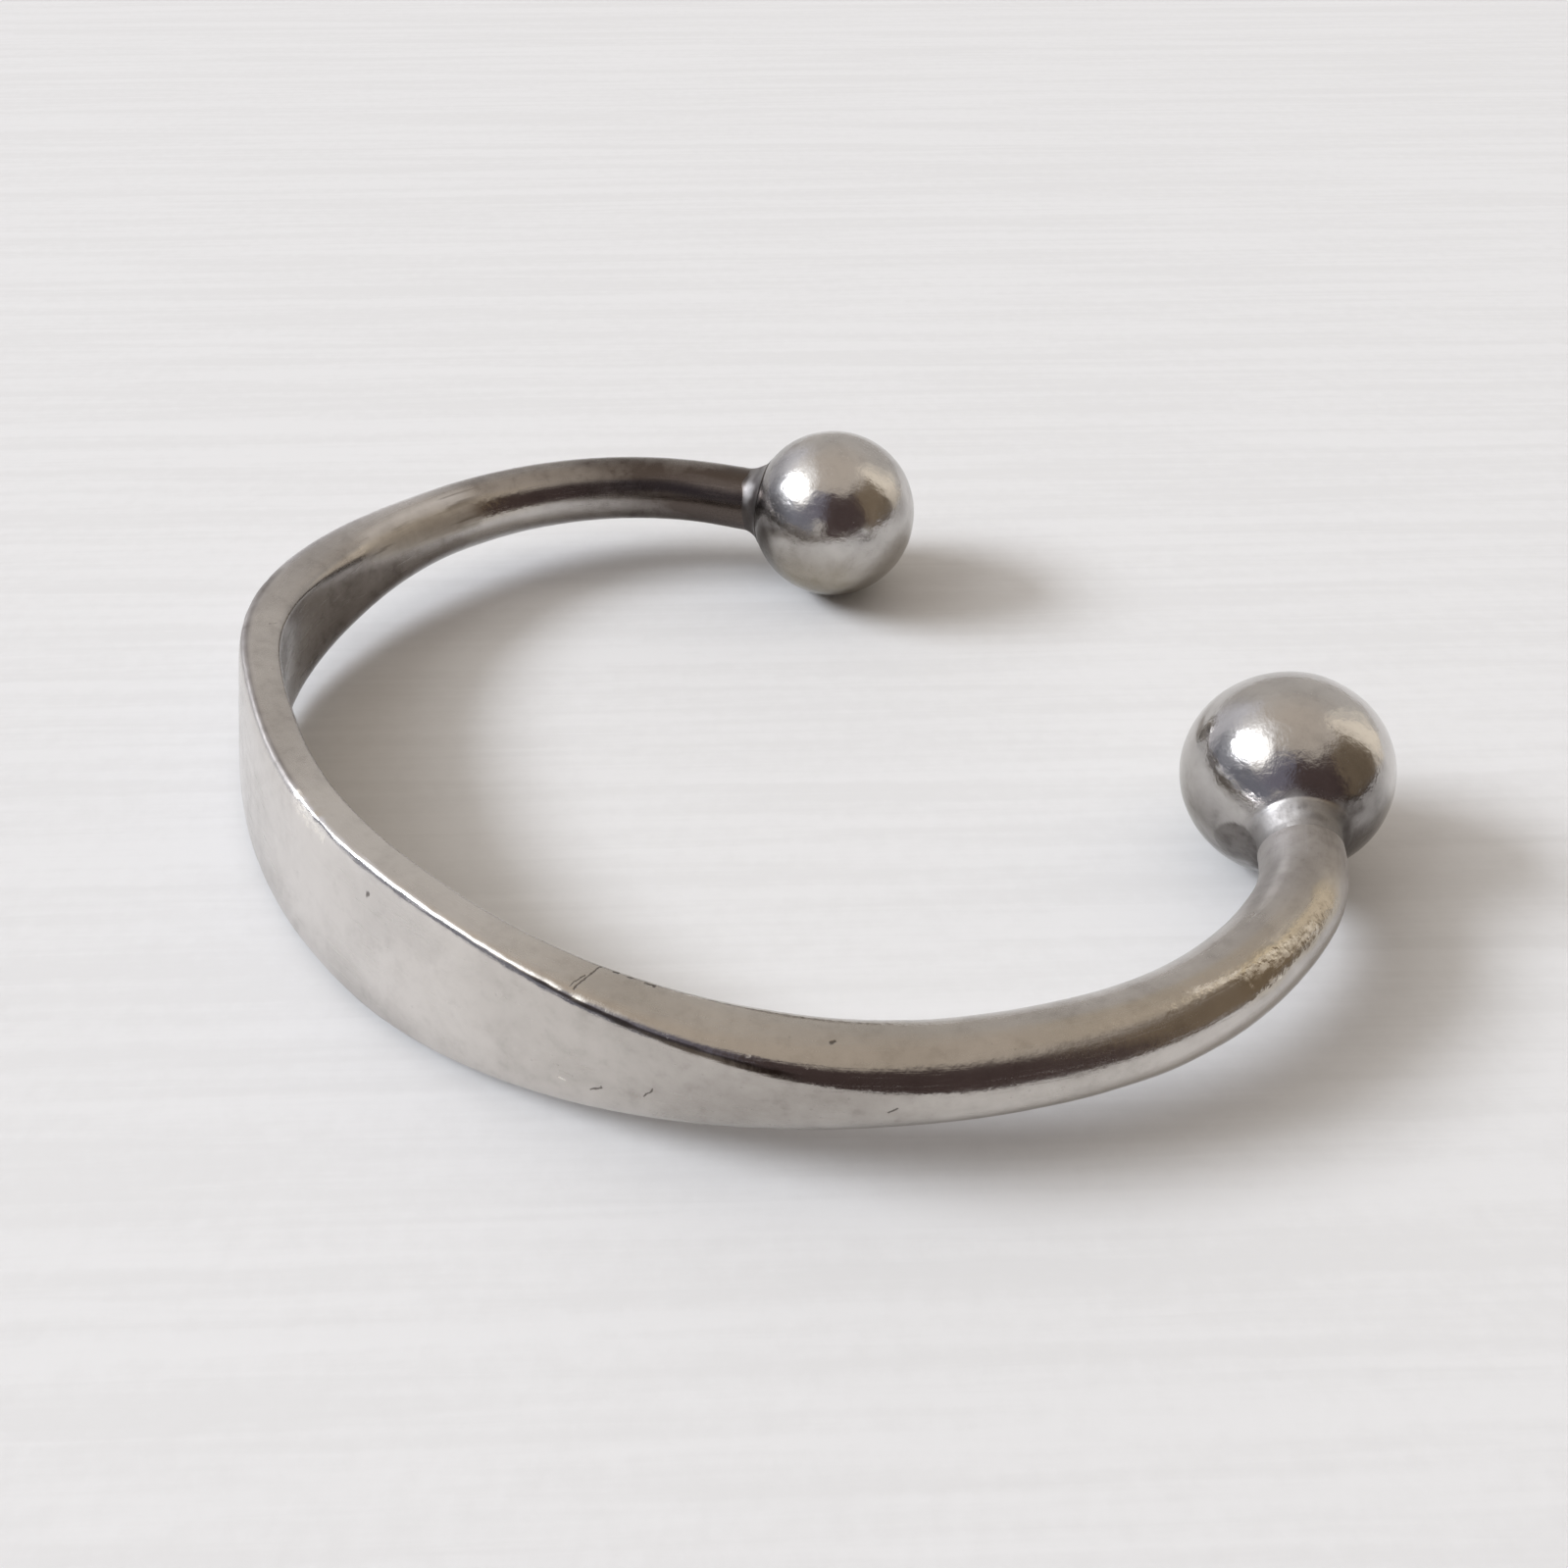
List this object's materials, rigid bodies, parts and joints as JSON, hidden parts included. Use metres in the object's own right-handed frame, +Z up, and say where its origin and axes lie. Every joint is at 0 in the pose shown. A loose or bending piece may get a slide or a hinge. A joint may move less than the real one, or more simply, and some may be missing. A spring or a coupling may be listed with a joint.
{
  "type": "ball-ended key ring",
  "caption": "Open metal ring bent from a round bar and hammered into a plate at the front, with ball ends; a ball unscrews so that keys can go onto the arm.",
  "frame": {"origin": "on the surface that the ring lies on, under the middle of the ring's bounding box", "axes": "+Z up out of the flat ring, -Y towards the front where the plate is, +Y towards the gap between the balls, +X towards the ball that unscrews, along the ring's longest extent"},
  "size_m": [0.0566, 0.0476, 0.01],
  "materials": {
    "bar_metal": "worn half-bright polish with fine scratches, small dents and darker marks",
    "ball_metal": "bright worn polish with fine scratches",
    "solder": "dull silvery solder with small pits",
    "stud_metal": "plain cut thread",
    "bush_metal": "plain turned brass"
  },
  "bodies": {
    "ring": {"bow": "bar_metal", "fixed_ball": "ball_metal", "ball_solder": "solder", "threaded_stud": "stud_metal"},
    "bush": {"thread_bush": "bush_metal"},
    "ball": {"screw_ball": "ball_metal"}
  },
  "joints": [
    {"name": "ball_advance", "type": "slide", "parent": "ring", "child": "bush", "axis": [-0.7236, 0.6902, 0], "range_m": [0, 0.00405]},
    {"name": "ball_turn", "type": "hinge", "parent": "bush", "child": "ball", "pos_m": [0.01935, 0.01876, 0.005], "axis": [-0.7236, 0.6902, 0], "range_deg": [0, 3241]}
  ],
  "couplings": [
    {"joint": "ball_turn", "follows": "ball_advance", "rad_per_m": 13963}
  ]
}
